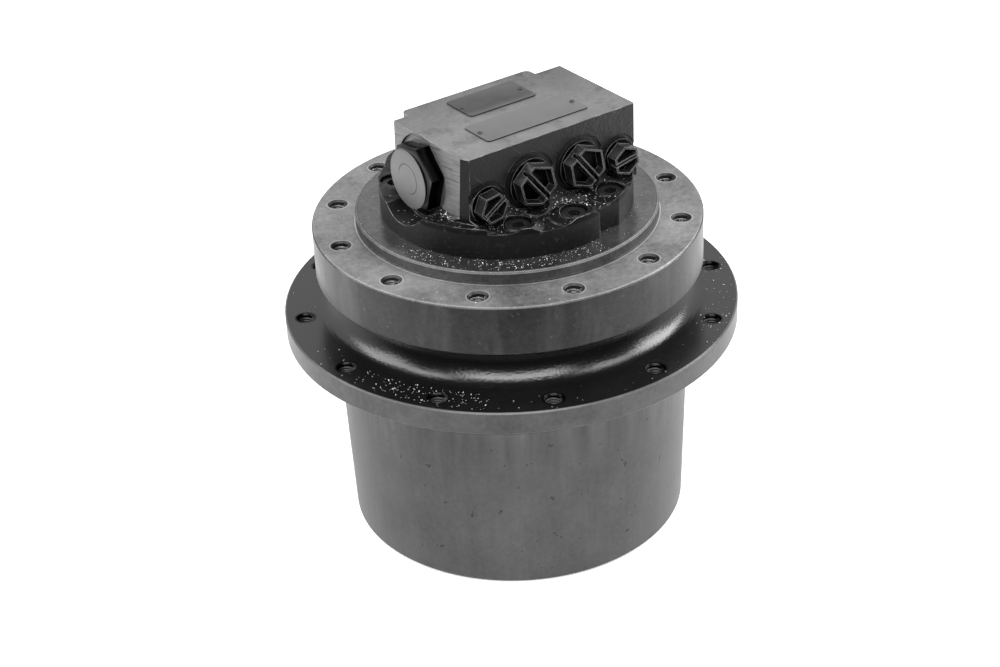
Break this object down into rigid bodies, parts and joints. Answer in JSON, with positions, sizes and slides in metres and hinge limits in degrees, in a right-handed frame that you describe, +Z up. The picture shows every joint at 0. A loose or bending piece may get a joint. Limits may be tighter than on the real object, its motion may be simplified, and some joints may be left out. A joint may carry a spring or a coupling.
{
  "type": "excavator final drive",
  "caption": "Track drive: planetary hub with sprocket flange and frame flange, and a plug-in travel motor with a ported valve block.",
  "frame": {"origin": "centre of the drum's rim, on the surface that the drive stands on", "axes": "+Z up along the drive's axis, towards the valve block; X along the block's length; ports face -Y"},
  "size_m": [0.289, 0.289, 0.2795],
  "materials": {
    "hub_casting": "dark satin coat over a turned casting",
    "frame_steel": "oiled turned face, dark grey",
    "motor_casting": "milled casting with a dark coat",
    "gear_steel": "ground and hardened",
    "bearing_steel": "polished",
    "machined_steel": "turned",
    "spring_steel": "blued",
    "black_oxide": "blacked screws and plugs",
    "seal_rubber": "moulded",
    "bronze": "turned bronze",
    "friction_lining": "sintered lining",
    "cap_plastic": "black moulded caps",
    "name_plate": "bare, dark coated plate"
  },
  "bodies": {
    "frame_side": {"frame_hub": "frame_steel", "carrier_two": "machined_steel", "carrier_two_screws": "black_oxide", "stage_two_pins": "gear_steel", "stage_two_needle_cages": "bearing_steel", "bearing_nut": "machined_steel", "main_inner_races": "bearing_steel", "frame_seal_ring": "bearing_steel", "frame_seal_toric": "seal_rubber", "shaft_seal": "seal_rubber", "shaft_outer_race": "bearing_steel", "swash_plate": "gear_steel", "valve_plate": "bronze", "shaft_needle_bearing": "bearing_steel", "brake_steel_plates": "machined_steel", "brake_spring": "spring_steel", "valve_housing": "motor_casting", "casing_o_ring": "seal_rubber", "motor_screws": "black_oxide", "main_port_plugs": "cap_plastic", "small_port_plugs": "cap_plastic", "spool_end_plugs": "motor_casting", "spool_springs": "spring_steel", "name_plates": "name_plate", "plate_rivets": "machined_steel"},
    "hub": {"hub_housing": "hub_casting", "ring_gear": "gear_steel", "end_cover": "hub_casting", "cover_snap_ring": "spring_steel", "cover_o_ring": "seal_rubber", "oil_plugs": "black_oxide", "thrust_button": "gear_steel", "main_outer_races": "bearing_steel", "hub_seal_ring": "bearing_steel", "hub_seal_toric": "seal_rubber"},
    "first_carrier": {"carrier_one": "machined_steel", "stage_one_pins": "gear_steel", "stage_one_needle_cages": "bearing_steel", "sun_two": "gear_steel"},
    "motor_rotor": {"motor_shaft": "gear_steel", "sun_one": "gear_steel", "cylinder_block": "machined_steel", "pistons": "bearing_steel", "retainer_plate": "machined_steel", "ball_guide": "machined_steel", "barrel_spring": "spring_steel", "brake_friction_plates": "friction_lining", "shaft_inner_race": "bearing_steel"},
    "shaft_balls": {"shaft_bearing_balls": "bearing_steel"},
    "lower_rollers": {"lower_bearing_rollers": "bearing_steel"},
    "upper_rollers": {"upper_bearing_rollers": "bearing_steel"},
    "brake": {"brake_piston": "machined_steel"},
    "spool": {"counterbalance_spool": "gear_steel"},
    "planet_one_a": {"planet_one_a": "gear_steel"},
    "planet_one_b": {"planet_one_b": "gear_steel"},
    "planet_one_c": {"planet_one_c": "gear_steel"},
    "planet_two_a": {"planet_two_a": "gear_steel"},
    "planet_two_b": {"planet_two_b": "gear_steel"},
    "planet_two_c": {"planet_two_c": "gear_steel"}
  },
  "joints": [
    {"name": "hub_spin", "type": "hinge", "parent": "frame_side", "child": "hub", "pos_m": [0, 0, 0.08], "axis": [0, 0, 1], "continuous": true},
    {"name": "first_carrier_spin", "type": "hinge", "parent": "frame_side", "child": "first_carrier", "pos_m": [0, 0, 0.049], "axis": [0, 0, 1], "continuous": true},
    {"name": "motor_spin", "type": "hinge", "parent": "frame_side", "child": "motor_rotor", "pos_m": [0, 0, 0.17], "axis": [0, 0, 1], "continuous": true},
    {"name": "planet_one_a_spin", "type": "hinge", "parent": "first_carrier", "child": "planet_one_a", "pos_m": [0.027, 0.04677, 0.03], "axis": [0, 0, 1], "continuous": true},
    {"name": "planet_one_b_spin", "type": "hinge", "parent": "first_carrier", "child": "planet_one_b", "pos_m": [-0.054, 0, 0.03], "axis": [0, 0, 1], "continuous": true},
    {"name": "planet_one_c_spin", "type": "hinge", "parent": "first_carrier", "child": "planet_one_c", "pos_m": [0.027, -0.04677, 0.03], "axis": [0, 0, 1], "continuous": true},
    {"name": "planet_two_a_spin", "type": "hinge", "parent": "frame_side", "child": "planet_two_a", "pos_m": [0.0585, 0, 0.074], "axis": [0, 0, 1], "continuous": true},
    {"name": "planet_two_b_spin", "type": "hinge", "parent": "frame_side", "child": "planet_two_b", "pos_m": [-0.02925, 0.05066, 0.074], "axis": [0, 0, 1], "continuous": true},
    {"name": "planet_two_c_spin", "type": "hinge", "parent": "frame_side", "child": "planet_two_c", "pos_m": [-0.02925, -0.05066, 0.074], "axis": [0, 0, 1], "continuous": true},
    {"name": "lower_rollers_orbit", "type": "hinge", "parent": "frame_side", "child": "lower_rollers", "pos_m": [0, 0, 0.126], "axis": [0, 0, 1], "continuous": true},
    {"name": "upper_rollers_orbit", "type": "hinge", "parent": "frame_side", "child": "upper_rollers", "pos_m": [0, 0, 0.156], "axis": [0, 0, 1], "continuous": true},
    {"name": "shaft_balls_orbit", "type": "hinge", "parent": "frame_side", "child": "shaft_balls", "pos_m": [0, 0, 0.1145], "axis": [0, 0, 1], "continuous": true},
    {"name": "brake_release", "type": "slide", "parent": "frame_side", "child": "brake", "axis": [0, 0, 1], "range_m": [0, 0.0012], "stiffness_N_per_m": 5000, "springref_m": -0.002, "deforming": ["brake_spring"]},
    {"name": "spool_shift", "type": "slide", "parent": "frame_side", "child": "spool", "axis": [1, 0, 0], "range_m": [-0.005, 0.005], "stiffness_N_per_m": 4000, "deforming": ["spool_springs"]}
  ],
  "couplings": [
    {"joint": "first_carrier_spin", "follows": "hub_spin", "ratio": -3.3333},
    {"joint": "motor_spin", "follows": "hub_spin", "ratio": -25},
    {"joint": "planet_one_a_spin", "follows": "hub_spin", "ratio": 10.833},
    {"joint": "planet_one_b_spin", "follows": "hub_spin", "ratio": 10.833},
    {"joint": "planet_one_c_spin", "follows": "hub_spin", "ratio": 10.833},
    {"joint": "planet_two_a_spin", "follows": "hub_spin", "ratio": 2.8571},
    {"joint": "planet_two_b_spin", "follows": "hub_spin", "ratio": 2.8571},
    {"joint": "planet_two_c_spin", "follows": "hub_spin", "ratio": 2.8571},
    {"joint": "lower_rollers_orbit", "follows": "hub_spin", "ratio": 0.52273},
    {"joint": "upper_rollers_orbit", "follows": "hub_spin", "ratio": 0.52273},
    {"joint": "shaft_balls_orbit", "follows": "hub_spin", "ratio": -9.5833}
  ]
}
